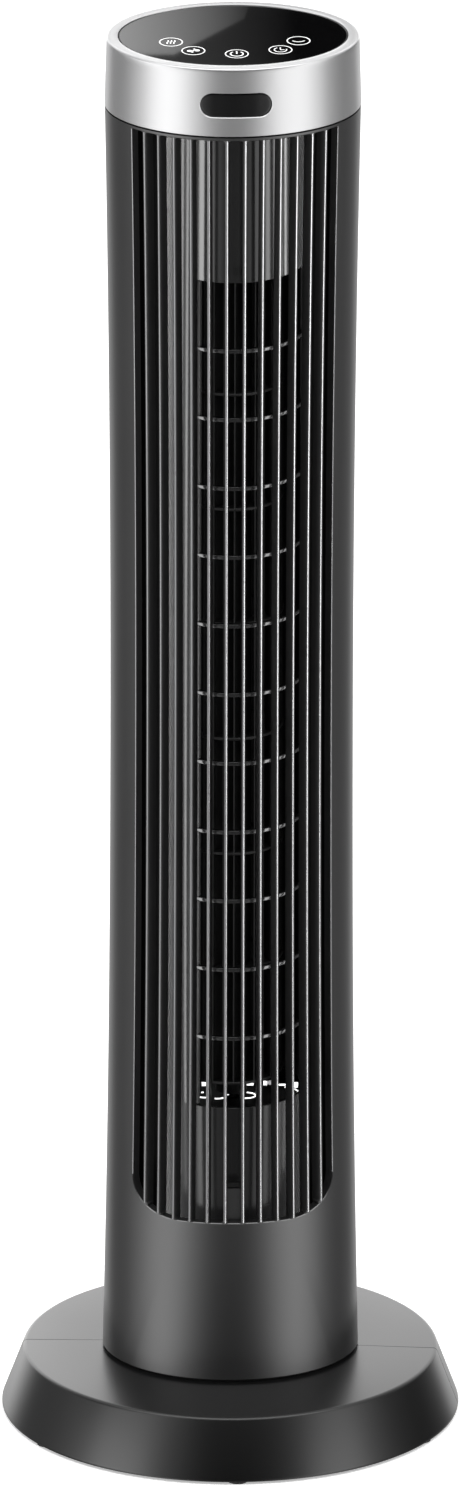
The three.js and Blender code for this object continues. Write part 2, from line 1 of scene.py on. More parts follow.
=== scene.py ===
"""Tower fan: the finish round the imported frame. A round base in two halves, an oval column with a slatted
front, a silver ring with a touch panel, and the swinging drum with its impeller behind the slats.
Lengths are in millimetres here and become metres when a mesh is made."""
import math

import bmesh
import bpy
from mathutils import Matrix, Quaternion, Vector


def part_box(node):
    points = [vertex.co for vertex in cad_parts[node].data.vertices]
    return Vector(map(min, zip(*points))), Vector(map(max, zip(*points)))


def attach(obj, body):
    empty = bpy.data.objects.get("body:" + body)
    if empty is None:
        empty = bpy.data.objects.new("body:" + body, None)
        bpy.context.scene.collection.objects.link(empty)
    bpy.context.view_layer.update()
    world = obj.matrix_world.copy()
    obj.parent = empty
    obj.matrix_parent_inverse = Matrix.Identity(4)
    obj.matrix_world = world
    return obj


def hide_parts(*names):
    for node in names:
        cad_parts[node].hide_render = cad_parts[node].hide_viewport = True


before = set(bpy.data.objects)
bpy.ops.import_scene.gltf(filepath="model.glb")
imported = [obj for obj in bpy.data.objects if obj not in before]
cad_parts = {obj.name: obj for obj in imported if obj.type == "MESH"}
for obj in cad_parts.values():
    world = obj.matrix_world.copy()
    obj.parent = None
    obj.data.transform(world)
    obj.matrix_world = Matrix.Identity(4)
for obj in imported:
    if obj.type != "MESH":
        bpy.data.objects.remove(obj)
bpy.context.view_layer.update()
scene = bpy.context.scene
MM = 0.001


def box_mm(node):
    """A CAD node's lowest and highest corners in millimetres."""
    low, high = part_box(node)
    return [v / MM for v in low], [v / MM for v in high]


# Sizes read from the frame
base_low, base_high = box_mm("base_front")
column_low, column_high = box_mm("front_housing")
rear_low, rear_high = box_mm("rear_housing")
ring_low, ring_high = box_mm("trim_ring")
panel_low, panel_high = box_mm("touch_panel")
window_low, window_high = box_mm("display_window")
shell_low, shell_high = box_mm("drum_shell")
grid_low, grid_high = box_mm("outlet_grid")
intake_low, intake_high = box_mm("intake_grille")
impeller_high = box_mm("impeller")[1]
mount_low, mount_high = box_mm("motor_mount")
gland_low, gland_high = box_mm("cord_gland")
lower_high = box_mm("lower_bracket")[1][2]
gland_z = (gland_low[2] + gland_high[2]) / 2
seam_y = (column_high[1] + rear_low[1]) / 2

# The base's parting line: half its gap and its turn round +Z, in degrees
BASE_GAP = 0.13
BASE_SKEW = 5

# The column's curve: an oval that is narrowest at the waist
WAIST_Z = 500
WAIST_HALF = 84.1
TOP_FLARE = 4.8
TOP_POWER = 2
FOOT_FLARE = 4.4
FOOT_POWER = 2.4
OVAL = 0.745
FOOT_DEPTH = 0.18
DEPTH_POWER = 6
WALL = 3
TOP_LINE = 0.9

# The slatted opening, in degrees round the oval and in millimetres up the column
OPENING_T = 53.8
OPENING_LOW = 159
OPENING_HIGH = 962.5
CORNER_T = 28.8
CORNER_Z = 27
SLATS = 12
SLAT_STEP = 8.3
SLAT_WIDTH = 2.5
SLAT_DEPTH = 7.6
SLAT_FILLET = 1.8
SLAT_LEVELS = 40
OPENING_RIM = 6.5

# The intake behind
INTAKE_T = 42.6
INTAKE_BARS = 19
INTAKE_BANDS = 7
SCREW_HOLE_R = 4.4
GLAND_HOLE_R = 7.4
HOLE_REACH = (12, 90)

# The drum, in degrees from the front towards +X
DRUM_R = shell_high[0]
OUTLET = (-31, 80)
DRUM_INTAKE = (135, 280)
OUTLET_LOW = grid_low[2] - 1
OUTLET_HIGH = grid_high[2] + 1
RUNGS = 11
DRUM_CLEARANCE = 0.8
BAFFLE_GAP = 2.5
BAFFLE_HALF = 12


# ---- materials

def new_material(name, base, roughness, metallic=0.0, specular=0.5):
    """A node material with its principled shader's plain values set on the shader's own sockets."""
    material = bpy.data.materials.new(name)
    material.use_nodes = True
    shader = material.node_tree.nodes["Principled BSDF"]
    shader.inputs["Base Color"].default_value = (*base, 1)
    shader.inputs["Roughness"].default_value = roughness
    shader.inputs["Metallic"].default_value = metallic
    shader.inputs["Specular IOR Level"].default_value = min(specular, 1.0)
    shader.inputs["IOR"].default_value = 1.5 if specular <= 1 else 1.5 + 0.35 * (specular - 1)
    return material, material.node_tree, shader


def add_noise(tree, scale, detail=4.0, stretch=(1, 1, 1)):
    """A noise texture on the object's own coordinates."""
    place = tree.nodes.new("ShaderNodeTexCoord")
    mapping = tree.nodes.new("ShaderNodeMapping")
    mapping.inputs["Scale"].default_value = stretch
    noise = tree.nodes.new("ShaderNodeTexNoise")
    noise.inputs["Scale"].default_value = scale
    noise.inputs["Detail"].default_value = detail
    tree.links.new(place.outputs["Object"], mapping.inputs["Vector"])
    tree.links.new(mapping.outputs["Vector"], noise.inputs["Vector"])
    return noise


def vary(tree, noise, socket, low, high):
    """Lets a noise move a shader value between two limits."""
    ramp = tree.nodes.new("ShaderNodeMapRange")
    ramp.inputs["From Min"].default_value = 0.3
    ramp.inputs["From Max"].default_value = 0.7
    ramp.inputs["To Min"].default_value = low
    ramp.inputs["To Max"].default_value = high
    tree.links.new(noise.outputs["Fac"], ramp.inputs["Value"])
    tree.links.new(ramp.outputs["Result"], socket)


def vary_colour(tree, noise, shader, dark, light):
    """Lets a noise move the base colour between two close tones."""
    mix = tree.nodes.new("ShaderNodeMix")
    mix.data_type = "RGBA"
    mix.inputs["A"].default_value = (*dark, 1)
    mix.inputs["B"].default_value = (*light, 1)
    tree.links.new(noise.outputs["Fac"], mix.inputs["Factor"])
    tree.links.new(mix.outputs["Result"], shader.inputs["Base Color"])


def roughen(tree, shader, noise, strength, distance):
    """A fine bump from a noise."""
    bump = tree.nodes.new("ShaderNodeBump")
    bump.inputs["Strength"].default_value = strength
    bump.inputs["Distance"].default_value = distance
    tree.links.new(noise.outputs["Fac"], bump.inputs["Height"])
    tree.links.new(bump.outputs["Normal"], shader.inputs["Normal"])


def grained(name, dark, light, rough, metallic=0.0, specular=0.5, grain=900, bump=0.05, stretch=(1, 1, 1)):
    """A moulded or painted finish: two close tones, uneven gloss and a fine grain."""
    material, tree, shader = new_material(name, light, sum(rough) / 2, metallic, specular)
    broad = add_noise(tree, 6, 3, stretch)
    fine = add_noise(tree, grain, 2, stretch)
    vary_colour(tree, broad, shader, dark, light)
    vary(tree, broad, shader.inputs["Roughness"], *rough)
    roughen(tree, shader, fine, bump, 0.0004)
    return material


charcoal = grained("body_charcoal", (0.008, 0.008, 0.0083), (0.01, 0.01, 0.0103), (0.3, 0.34), specular=1.4)
# Painted highlight: a bright metallic strip on each slat's nose stands in for the highlight the dark slats
# would catch
slat_highlight_paint = grained("slat_highlight_paint", (0.15, 0.15, 0.152), (0.18, 0.18, 0.183), (0.26, 0.3), metallic=0.9)
slat_flank = grained("slat_flank", (0.01, 0.01, 0.0102), (0.013, 0.013, 0.0132), (0.34, 0.4), specular=0.9)
base_satin = grained("base_satin", (0.0018, 0.0018, 0.0019), (0.0025, 0.0025, 0.0026), (0.27, 0.3),
                     specular=0.6)
drum_satin = grained("drum_satin", (0.006, 0.006, 0.0061), (0.008, 0.008, 0.0082), (0.15, 0.18), specular=0.6)
# Painted shade: a duller, less reflective copy of the drum's finish that darkens the drum below the outlet
drum_shaded_low = grained("drum_shaded_low", (0.006, 0.006, 0.0061), (0.008, 0.008, 0.0082), (0.24, 0.28), specular=0.3)
silver = grained("trim_silver", (0.58, 0.58, 0.585), (0.62, 0.62, 0.625), (0.28, 0.31), metallic=0.9,
                 grain=1600)
inner_black = grained("inner_black", (0.006, 0.006, 0.006), (0.009, 0.009, 0.009), (0.5, 0.6), specular=0.25)
impeller_black = grained("impeller_black", (0.006, 0.006, 0.006), (0.01, 0.01, 0.01), (0.4, 0.5),
                         specular=0.4)
rubber = grained("rubber_black", (0.012, 0.012, 0.012), (0.02, 0.02, 0.02), (0.75, 0.9), grain=500, bump=0.2)
screw_steel = grained("screw_steel", (0.45, 0.45, 0.46), (0.6, 0.6, 0.61), (0.2, 0.3), metallic=1.0)
zinc_steel = grained("zinc_steel", (0.55, 0.56, 0.57), (0.7, 0.71, 0.72), (0.12, 0.25), metallic=1.0)
# Painted highlight: near-white diffuse paint on the mount's spring wires and brackets stands in for glints on
# plated metal
glint_white = grained("glint_white", (0.8, 0.8, 0.8), (0.86, 0.86, 0.86), (0.2, 0.3), specular=1.0)
# Painted shade: near black with almost no gloss, so the plated motor mount reads as shadow and not as its
# reflection
mount_shade_black = grained("mount_shade_black", (0.004, 0.004, 0.0041), (0.006, 0.006, 0.0061), (0.7, 0.8), specular=0.05)
board_green = grained("board_green", (0.012, 0.09, 0.035), (0.02, 0.12, 0.05), (0.4, 0.5))
acetal = grained("acetal_white", (0.72, 0.71, 0.68), (0.8, 0.79, 0.76), (0.4, 0.5), grain=300)
panel_glass = grained("panel_glass", (0.002, 0.002, 0.0022), (0.003, 0.003, 0.0032), (0.03, 0.045), bump=0.0)
icon_print = grained("icon_print", (0.8, 0.8, 0.8), (0.9, 0.9, 0.9), (0.5, 0.6), bump=0.0)


# ---- mesh helpers

def make_piece(name, body, points, faces, material, slot, sharp=35, extra=()):
    """A mesh object from points in millimetres, with outward faces, that rides on a body."""
    mesh = bpy.data.meshes.new(name)
    mesh.from_pydata([Vector(p) * MM for p in points], [], faces)
    work = bmesh.new()
    work.from_mesh(mesh)
    bmesh.ops.remove_doubles(work, verts=work.verts, dist=1e-6)
    bmesh.ops.recalc_face_normals(work, faces=work.faces)
    work.to_mesh(mesh)
    work.free()
    for each in (material, *extra):
        mesh.materials.append(each)
    mesh.shade_smooth()
    mesh.set_sharp_from_angle(angle=math.radians(sharp))
    piece = bpy.data.objects.new(name, mesh)
    scene.collection.objects.link(piece)
    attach(piece, body)
    return piece


class Builder:
    """Collects the points and faces of one piece."""

    def __init__(self):
        self.points = []
        self.faces = []

    def loft(self, loops, closed=True, capped=False, ring=False):
        """Quads between loops of equally many points. ring joins the last loop to the first."""
        start = len(self.points)
        count = len(loops[0])
        for loop in loops:
            self.points.extend(loop)
        rows = len(loops) if ring else len(loops) - 1
        across = count if closed else count - 1
        for i in range(rows):
            a = start + i * count
            b = start + (i + 1) % len(loops) * count
            for j in range(across):
                k = (j + 1) % count
                self.faces.append((a + j, a + k, b + k, b + j))
        if capped:
            last = start + (len(loops) - 1) * count
            self.faces.append(tuple(range(start, start + count))[::-1])
            self.faces.append(tuple(range(last, last + count)))

    def turn(self, profile, steps=96, start=0.0, stop=360.0):
        """A closed profile of (radius, z) turned about +Z, or part of the way with end caps."""
        whole = stop - start >= 360
        loops = []
        for i in range(steps if whole else steps + 1):
            angle = math.radians(start + (stop - start) * i / steps)
            loops.append([(r * math.sin(angle), -r * math.cos(angle), z) for r, z in profile])
        self.loft(loops, ring=whole, capped=not whole)

    def piece(self, name, body, material, slot, **more):
        return make_piece(name, body, self.points, self.faces, material, slot, **more)


def lerp(a, b, f):
    """The value a share f of the way from a to b."""
    return a + (b - a) * f


def fillet(corner, before, after, radius, steps=4):
    """Points that round one corner of a profile."""
    c, p, q = (Vector(v) for v in (corner, before, after))
    one = (p - c).normalized()
    two = (q - c).normalized()
    a, b = c + one * radius, c + two * radius
    shares = [i / steps for i in range(steps + 1)]
    return [tuple((1 - f) ** 2 * a + 2 * f * (1 - f) * c + f * f * b) for f in shares]


def rounded(profile, radii):
    """A closed profile with each corner rounded by its own radius; 0 keeps it sharp."""
    out = []
    for i, corner in enumerate(profile):
        if radii[i] == 0:
            out.append(corner)
        else:
            out.extend(fillet(corner, profile[i - 1], profile[(i + 1) % len(profile)], radii[i]))
    return out


# ---- the column's surface

def column_half(z):
    """The column's half width at a height."""
    if z > WAIST_Z:
        return WAIST_HALF + TOP_FLARE * ((z - WAIST_Z) / (column_high[2] - WAIST_Z)) ** TOP_POWER
    return WAIST_HALF + FOOT_FLARE * ((WAIST_Z - z) / (WAIST_Z - column_low[2])) ** FOOT_POWER


def column_depth(z):
    """The column's half depth at a height: a plain oval that grows deeper near the foot."""
    low = max(0.0, (WAIST_Z - z) / (WAIST_Z - column_low[2]))
    return column_half(z) * OVAL * (1 + FOOT_DEPTH * low ** DEPTH_POWER)


def oval_point(t, half_x, half_y, z, depth=0.0):
    """A point a depth inside an oval, at t degrees from the front towards +X."""
    a = math.radians(t)
    x, y = half_x * math.sin(a), -half_y * math.cos(a)
    out = Vector((half_y * math.sin(a), -half_x * math.cos(a))).normalized()
    return (x - depth * out.x, y - depth * out.y, z)


def column_point(t, z, depth=0.0):
    """A point of the column at t degrees from the front, a depth inside its outer face."""
    return oval_point(t, column_half(z), column_depth(z), z, depth)


def degrees_for(width, t, half):
    """The degrees round the oval that a width takes at t."""
    a = math.radians(t)
    return math.degrees(width / (half * math.hypot(math.cos(a), OVAL * math.sin(a))))


def opening_sides(half_u, low, high, lower, upper, counts):
    """The outline of an upright opening as four runs of points: bottom, right, top and left.
    lower and upper are the corners' (u, v) radii."""
    def arc(cu, cv, radii, start, stop, steps=6):
        turns = [math.radians(lerp(start, stop, i / steps)) for i in range(steps + 1)]
        return [(cu + radii[0] * math.cos(a), cv + radii[1] * math.sin(a)) for a in turns]

    def run(a, b, steps):
        return [(lerp(a[0], b[0], i / steps), lerp(a[1], b[1], i / steps)) for i in range(1, steps)]

    corners = [(-half_u + lower[0], low + lower[1], lower, 180),
               (half_u - lower[0], low + lower[1], lower, 270),
               (half_u - upper[0], high - upper[1], upper, 0),
               (-half_u + upper[0], high - upper[1], upper, 90)]
    halves = [(arc(u, v, radii, a, a + 45), arc(u, v, radii, a + 45, a + 90)) for u, v, radii, a in corners]
    sides = []
    for i in range(4):
        first, second = halves[i][1], halves[(i + 1) % 4][0]
        sides.append(first + run(first[-1], second[0], counts[i % 2]) + second)
    return sides


def matched_border(sides, low_u, high_u, low_v, high_v):
    """Points on a rectangle's border that face each outline point, side by side."""
    inner, outer = [], []
    for i, side in enumerate(sides):
        axis = i % 2
        a, b = side[0][axis], side[-1][axis]
        for point in side[:-1]:
            f = (point[axis] - a) / (b - a)
            edge = [(lerp(low_u, high_u, f), low_v), (high_u, lerp(low_v, high_v, f)),
                    (lerp(high_u, low_u, f), high_v), (low_u, lerp(high_v, low_v, f))][i]
            inner.append(point)
            outer.append(edge)
    return inner, outer


def grown(outline, amount_u, amount_v):
    """An outline moved outwards by its own normals."""
    out = []
    count = len(outline)
    for i, (u, v) in enumerate(outline):
        a, b = outline[i - 1], outline[(i + 1) % count]
        normal = Vector((b[1] - a[1], -(b[0] - a[0])))
        if normal.length > 0:
            normal.normalize()
        out.append((u + normal.x * amount_u, v + normal.y * amount_v))
    return out


def framed_sheet(builder, place, inner, outer, wall, rim, lip, lip_u, rings=14, behind=None):
    """A curved wall round an opening. place(u, v, depth) gives points; the opening's rim goes rim deep.
    With a border of its own behind, the wall is left open at its border."""
    wide = grown(inner, lip_u * lip, lip)
    flange = grown(inner, lip_u * 2, 2)

    def level(outline, depth):
        return [place(u, v, depth) for u, v in outline]

    def between(first, second, depth, ease):
        rows = []
        for i in range(rings + 1):
            f = (i / rings) ** ease
            mixed = [(lerp(a[0], b[0], f), lerp(a[1], b[1], f)) for a, b in zip(first, second)]
            rows.append(level(mixed, depth))
        return rows

    loops = between(flange, behind or outer, wall, 1.3)[::-1]
    loops += [level(flange, rim), level(inner, rim), level(inner, lip)]
    loops += between(wide, outer, 0, 1.3)
    builder.loft(loops, ring=behind is None)


# ---- pieces of the housing

def make_base():
    """The two halves of the base, with a soft rim and a fine parting line."""
    outer_r, top = -base_low[1], base_high[2]
    foot = base_low[2]
    profile = rounded(
        [(outer_r - 17, foot), (outer_r, foot), (outer_r, foot + 1.6), (142.9, top - 0.8), (88, top),
         (34, top), (34, top - 3), (138, top - 4), (outer_r - 5.2, foot + 3), (outer_r - 17, foot + 3)],
        [0, 0.5, 0.7, 2.2, 0, 0.6, 0, 1, 1, 0])
    pieces = []
    for name, start, node in (("base_shell_front", -90, "base_front"), ("base_shell_rear", 90, "base_rear")):
        part = Builder()
        first = start - BASE_SKEW
        part.turn(profile, 128, first + BASE_GAP, first + 180 - BASE_GAP)
        piece = part.piece(name, "housing", base_satin, "body_charcoal")
        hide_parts(node)
        pieces.append(piece)
    return pieces


def make_slats():
    """Upright bars round the opening, with a fillet where they meet the frame, and on each nose a narrow
    strip of bright metallic paint that stands in for its highlight.
    The opening's two upright edges carry the same painted highlight line."""
    bars, noses = Builder(), Builder()
    front = [(-0.5, 0.75), (-0.42, 0.35), (-0.24, 0.16), (0, 0.12), (0.24, 0.16), (0.42, 0.35), (0.5, 0.75)]
    nose = [(-0.62, 0.5), (-0.62, 0.14), (-0.3, 0.0), (0.3, 0.0), (0.62, 0.14), (0.62, 0.5)]
    for i in range(-1, SLATS + 1):
        t = (i - (SLATS - 1) / 2) * SLAT_STEP
        edge = i in (-1, SLATS)
        if edge:
            t = math.copysign(OPENING_T + 0.3, t)
        beyond = max(0.0, (abs(t) - (OPENING_T - CORNER_T)) / CORNER_T)
        foot = OPENING_LOW + CORNER_Z * (1 - math.sqrt(1 - min(beyond, 1) ** 2))
        heights = [foot - 1.5, foot] + [foot + SLAT_FILLET * f for f in (0.15, 0.35, 0.6, 1)]
        low, high = foot + SLAT_FILLET, OPENING_HIGH - SLAT_FILLET
        heights += [lerp(low, high, k / SLAT_LEVELS) for k in range(1, SLAT_LEVELS)]
        heights += [OPENING_HIGH - SLAT_FILLET * f for f in (1, 0.6, 0.35, 0.15, 0)] + [OPENING_HIGH + 1.2]
        loops, lines = [], []
        for z in heights:
            near = max(0.0, min(z - foot, OPENING_HIGH - z, SLAT_FILLET))
            flare = SLAT_FILLET - math.sqrt(SLAT_FILLET ** 2 - (SLAT_FILLET - near) ** 2)
            half = column_half(z)
            width = SLAT_WIDTH + 2 * flare
            loop = [column_point(t + degrees_for(width * x, t, half), z, d) for x, d in front]
            centre = Vector(column_point(t, z, 0)[:2])
            inward = -centre.normalized()
            side = Vector((-inward.y, inward.x))
            for sign in (1, -1):
                back = centre + inward * SLAT_DEPTH + side * (-sign * SLAT_WIDTH * 0.36)
                loop.append((back.x, back.y, z))
            loops.append(loop)
            if foot <= z <= OPENING_HIGH:
                lines.append([column_point(t + degrees_for(x, t, half), z, d) for x, d in nose])
        noses.loft(lines, capped=True)
        if not edge:
            bars.loft(loops, capped=True)
    bars.piece("front_slats", "housing", slat_flank, "body_charcoal")
    # The nose strips are painted highlight lines, not a finish of the slats
    return noses.piece("slat_nose_highlights", "housing", slat_highlight_paint, "body_charcoal")


def make_front_housing():
    """The column's front shell, with the opening for the slats."""
    seam_t = 90 + math.degrees(math.asin(seam_y / (WAIST_HALF * OVAL)))
    sides = opening_sides(OPENING_T, OPENING_LOW, OPENING_HIGH, (CORNER_T, CORNER_Z), (1.2, 1.6), (48, 60))
    inner, outer = matched_border(sides, -seam_t, seam_t, column_low[2], column_high[2] - TOP_LINE)
    part = Builder()
    framed_sheet(part, column_point, inner, outer, WALL, OPENING_RIM, 0.5, 0.7)
    piece = part.piece("column_front", "housing", charcoal, "body_charcoal")
    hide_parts("front_housing")


def make_baffles():
    """The two upright walls that keep air from passing beside the drum."""
    part = Builder()
    for side in (-1, 1):
        loops = []
        for z in (lower_high + 0.5, 300, 500, 700, rear_high[2] - TOP_LINE - 1):
            reach = column_half(z) - WALL - BAFFLE_GAP
            inner = [around(side * t, DRUM_R + DRUM_CLEARANCE, z) for t in range(72, 109, 3)]
            loops.append(inner + [(side * reach, BAFFLE_HALF, z), (side * reach, -BAFFLE_HALF, z)])
        part.loft(loops, capped=True)
    part.piece("air_baffles", "housing", inner_black, "inner_black")


def screw_spots():
    """Where the column's screws are, as (x, z), read from their nodes."""
    spots = []
    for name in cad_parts:
        if name.startswith("rear_screw"):
            low, high = box_mm(name)
            spots.append(((low[0] + high[0]) / 2, (low[2] + high[2]) / 2))
    return sorted(spots)


def pierce(piece, holes):
    """Round holes along Y through a piece, each (x, z, radius)."""
    part = Builder()
    sides = 40
    for x, z, radius in holes:
        turns = [2 * math.pi * i / sides for i in range(sides)]
        rim = [(x + radius * math.cos(a), z + radius * math.sin(a)) for a in turns]
        part.loft([[(u, y, v) for u, v in rim] for y in HOLE_REACH], capped=True)
    mesh = bpy.data.meshes.new("cutter")
    mesh.from_pydata([Vector(p) * MM for p in part.points], [], part.faces)
    cutter = bpy.data.objects.new("cutter", mesh)
    scene.collection.objects.link(cutter)
    cut = piece.modifiers.new("holes", "BOOLEAN")
    cut.object = cutter
    cut.solver = "EXACT"
    bpy.context.view_layer.update()
    whole = piece.evaluated_get(bpy.context.evaluated_depsgraph_get())
    piece.data = bpy.data.meshes.new_from_object(whole)
    piece.modifiers.clear()
    bpy.data.objects.remove(cutter)


def make_rear_housing():
    """The column's rear shell, with the intake's opening and the holes for the screws and the gland."""
    seam_t = 90 - math.degrees(math.asin(seam_y / (WAIST_HALF * OVAL)))
    low, high = intake_low[2] - 0.3, intake_high[2] + 0.3
    sides = opening_sides(INTAKE_T + 0.4, low, high, (8, 12), (8, 12), (30, 60))
    inner, outer = matched_border(sides, -seam_t, seam_t, column_low[2], column_high[2] - TOP_LINE)
    part = Builder()
    framed_sheet(part, lambda u, v, d: column_point(u + 180, v, d), inner, outer, WALL, WALL, 0.5, 0.7)
    piece = part.piece("column_rear", "housing", charcoal, "body_charcoal")
    pierce(piece, [(x, z, SCREW_HOLE_R) for x, z in screw_spots()] + [(0, gland_z, GLAND_HOLE_R)])
    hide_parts("rear_housing")


def make_intake():
    """The guard behind: a framed panel of upright bars with level bands."""
    def place(u, v, d):
        return column_point(u + 180, v, d + 0.3)

    low, high = intake_low[2], intake_high[2]
    sides = opening_sides(INTAKE_T - 3, low + 4, high - 4, (5, 8), (5, 8), (30, 60))
    inner, outer = matched_border(sides, -INTAKE_T, INTAKE_T, low, high)
    part = Builder()
    framed_sheet(part, place, inner, outer, WALL, WALL, 0.4, 0.6, rings=3)
    steps = 24
    for i in range(INTAKE_BARS):
        t = lerp(-INTAKE_T + 3, INTAKE_T - 3, (i + 1) / (INTAKE_BARS + 1))
        loops = []
        for k in range(steps + 1):
            z = lerp(low + 3, high - 3, k / steps)
            section = [(-1.0, 0.5), (-0.6, 0.1), (0.6, 0.1), (1.0, 0.5), (0.8, 3.2), (-0.8, 3.2)]
            half = column_half(z)
            loops.append([place(t + degrees_for(x, t, half), z, d) for x, d in section])
        part.loft(loops, capped=True)
    for i in range(INTAKE_BANDS):
        z = lerp(low, high, (i + 1) / (INTAKE_BANDS + 1))
        loops = []
        for k in range(37):
            t = lerp(-INTAKE_T + 2, INTAKE_T - 2, k / 36)
            section = [(-2, 0.9), (-1.6, 0.5), (1.6, 0.5), (2, 0.9), (1.8, 3), (-1.8, 3)]
            loops.append([place(t, z + v, d) for v, d in section])
        part.loft(loops, capped=True)
    piece = part.piece("intake_guard", "housing", charcoal, "body_charcoal")
    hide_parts("intake_grille")


# ---- the ring, its window and the touch panel

RING_TOP_HALF = 87.8
RING_TOP_WIDTH = 7.9
RING_ROLL = 1.8
RING_WALL = 1.6
RING_EDGE = 0.3
WINDOW_PATCH = 26


def ring_point(t, z, depth=0.0):
    """A point of the ring at t degrees from the front, a depth inside its outer face."""
    f = (z - ring_low[2]) / (ring_high[2] - ring_low[2])
    half_x = lerp(ring_high[0], RING_TOP_HALF, f)
    a = math.radians(t)
    half_y = half_x * ring_high[1] / ring_high[0]
    return ((half_x - depth) * math.sin(a), -(half_y - depth) * math.cos(a), z)


def window_sides(inset):
    """The stadium of the display window, drawn in by an inset."""
    low, high = window_low[2] - 0.3 + inset, window_high[2] + 0.3 - inset
    half = math.degrees(math.asin((window_high[0] + 0.3 - inset) / RING_TOP_HALF))
    radius = (high - low) / 2
    return opening_sides(half, low, high, (radius * 0.68, radius), (radius * 0.68, radius), (14, 1))


def make_trim_ring():
    """The silver ring: an outer band with the window's opening, a rolled top edge and an inner throat."""
    low, high = ring_low[2], ring_high[2]
    top, under = high - RING_ROLL, high - 5
    inner, outer = matched_border(window_sides(0), -WINDOW_PATCH, WINDOW_PATCH, low + RING_EDGE, top)
    span = top - low - RING_EDGE
    behind = [(u, lerp(low, under, (v - low - RING_EDGE) / span)) for u, v in outer]
    part = Builder()
    framed_sheet(part, ring_point, inner, outer, RING_WALL, 1.5, 0.35, 0.7, rings=12, behind=behind)
    rows = sorted(v for u, v in outer if abs(u - WINDOW_PATCH) < 1e-6)
    tops = sorted(u for u, v in outer if abs(v - top) < 1e-6)
    lows = sorted(u for u, v in outer if abs(v - low - RING_EDGE) < 1e-6)
    turns = [math.radians(15 * i) for i in range(1, 7)]
    crest = [(0, top)] + [(RING_ROLL * (1 - math.cos(a)), top + RING_ROLL * math.sin(a)) for a in turns]
    crest += [(RING_TOP_WIDTH - 0.5, high), (RING_TOP_WIDTH - 0.15, high - 0.15),
              (RING_TOP_WIDTH, high - 0.5), (RING_TOP_WIDTH, under), (RING_WALL, under)]
    foot = [(RING_WALL, low), (RING_EDGE, low), (0, low + RING_EDGE)]
    back = [(RING_WALL, lerp(low, under, (v - low - RING_EDGE) / span)) for v in rows[-2:0:-1]]
    profile = [(0, v) for v in rows[1:-1]] + crest + back + foot
    angles = [lerp(WINDOW_PATCH, 360 - WINDOW_PATCH, k / 150) for k in range(151)]
    part.loft([[ring_point(t, z, d) for d, z in profile] for t in angles])
    part.loft([[ring_point(t, z, d) for d, z in crest] for t in tops], closed=False)
    part.loft([[ring_point(t, z, d) for d, z in foot] for t in lows], closed=False)
    piece = part.piece("silver_ring", "housing", silver, "trim_silver")
    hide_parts("trim_ring")
    return piece


def make_window():
    """The dark lens set a little way into the ring."""
    outline = [point for side in window_sides(0.22) for point in side[:-1]]
    mid = (window_low[2] + window_high[2]) / 2
    reach = max(u for u, v in outline) - 0.68 * (max(v for u, v in outline) - mid)

    def drawn_in(share, depth):
        loop = []
        for u, v in outline:
            over = max(0.0, abs(u) - reach)
            t = math.copysign(abs(u) - over * (1 - share), u)
            loop.append(ring_point(t, mid + (v - mid) * share, depth))
        return loop

    rows = [(0, 3), (0.5, 3), (1, 3), (1, 1.35), (0.985, 1.2), (0.96, 1.15), (0.8, 1.1), (0.5, 1.08),
            (0, 1.08)]
    part = Builder()
    part.loft([drawn_in(share, depth) for share, depth in rows])
    piece = part.piece("display_lens", "housing", panel_glass, "panel_glass")
    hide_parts("display_window")


def ribbon(part, path, width, low, high, closed=False):
    """A flat printed line along a path of (x, y)."""
    loops = []
    count = len(path)
    for i, (x, y) in enumerate(path):
        before = path[i - 1] if closed or i > 0 else path[i]
        after = path[(i + 1) % count] if closed or i < count - 1 else path[i]
        side = Vector((after[1] - before[1], before[0] - after[0])).normalized() * width / 2
        loops.append([(x - side.x, y - side.y, low), (x - side.x, y - side.y, high),
                      (x + side.x, y + side.y, high), (x + side.x, y + side.y, low)])
    part.loft(loops, ring=closed, capped=not closed)


def arc_path(x, y, radius, start, stop, steps=40, squash=1.0):
    """Points round (x, y), in degrees from +Y towards +X."""
    turns = [math.radians(lerp(start, stop, i / steps)) for i in range(steps + 1)]
    return [(x + radius * math.sin(a), y + radius * squash * math.cos(a)) for a in turns]


KEYS = {"key_heat": (-43.4, -11), "key_fan": (-28.5, -28), "key_power": (1.4, -35),
        "key_timer": (31.9, -28), "key_breeze": (45, -11)}
KEY_R = 7.9
LINE = 0.75


def key_lines(name, x, y):
    """The lines of one key's sign, as (path, width, closed)."""
    if name == "key_heat":
        waves = []
        for offset in (-2.3, 0, 2.3):
            steps = [i / 12 - 0.5 for i in range(13)]
            waves.append(([(x + offset + 0.6 * math.sin(5.6 * f), y + 6.4 * f) for f in steps], 0.8, False))
        return waves
    if name == "key_fan":
        loops = [arc_path(x + 2.6 * sx, y + 0.4 * sx, 1.1, 0, 360, 20, 0.8)[:-1] for sx in (-1, 1)]
        blades = [(loop, 1.6, True) for loop in loops]
        swirl = [(x + 1.5 * math.sin(6.0 * (i / 14 - 0.5)), y + 6.6 * (i / 14 - 0.5)) for i in range(15)]
        return blades + [(swirl, 1.3, False)]
    if name == "key_power":
        return [(arc_path(x, y, 4.4, 38, 322), 0.95, False), ([(x, y + 0.2), (x, y + 5)], 0.95, False)]
    if name == "key_timer":
        hands = [([(x, y), (x, y + 4.2)], LINE, False), ([(x, y), (x + 2.8, y)], LINE, False)]
        return [(arc_path(x, y, 4.3, 75, 330), LINE, False)] + hands
    return [(arc_path(x, y + 3.4, 5.4, 128, 232), 0.85, False)]


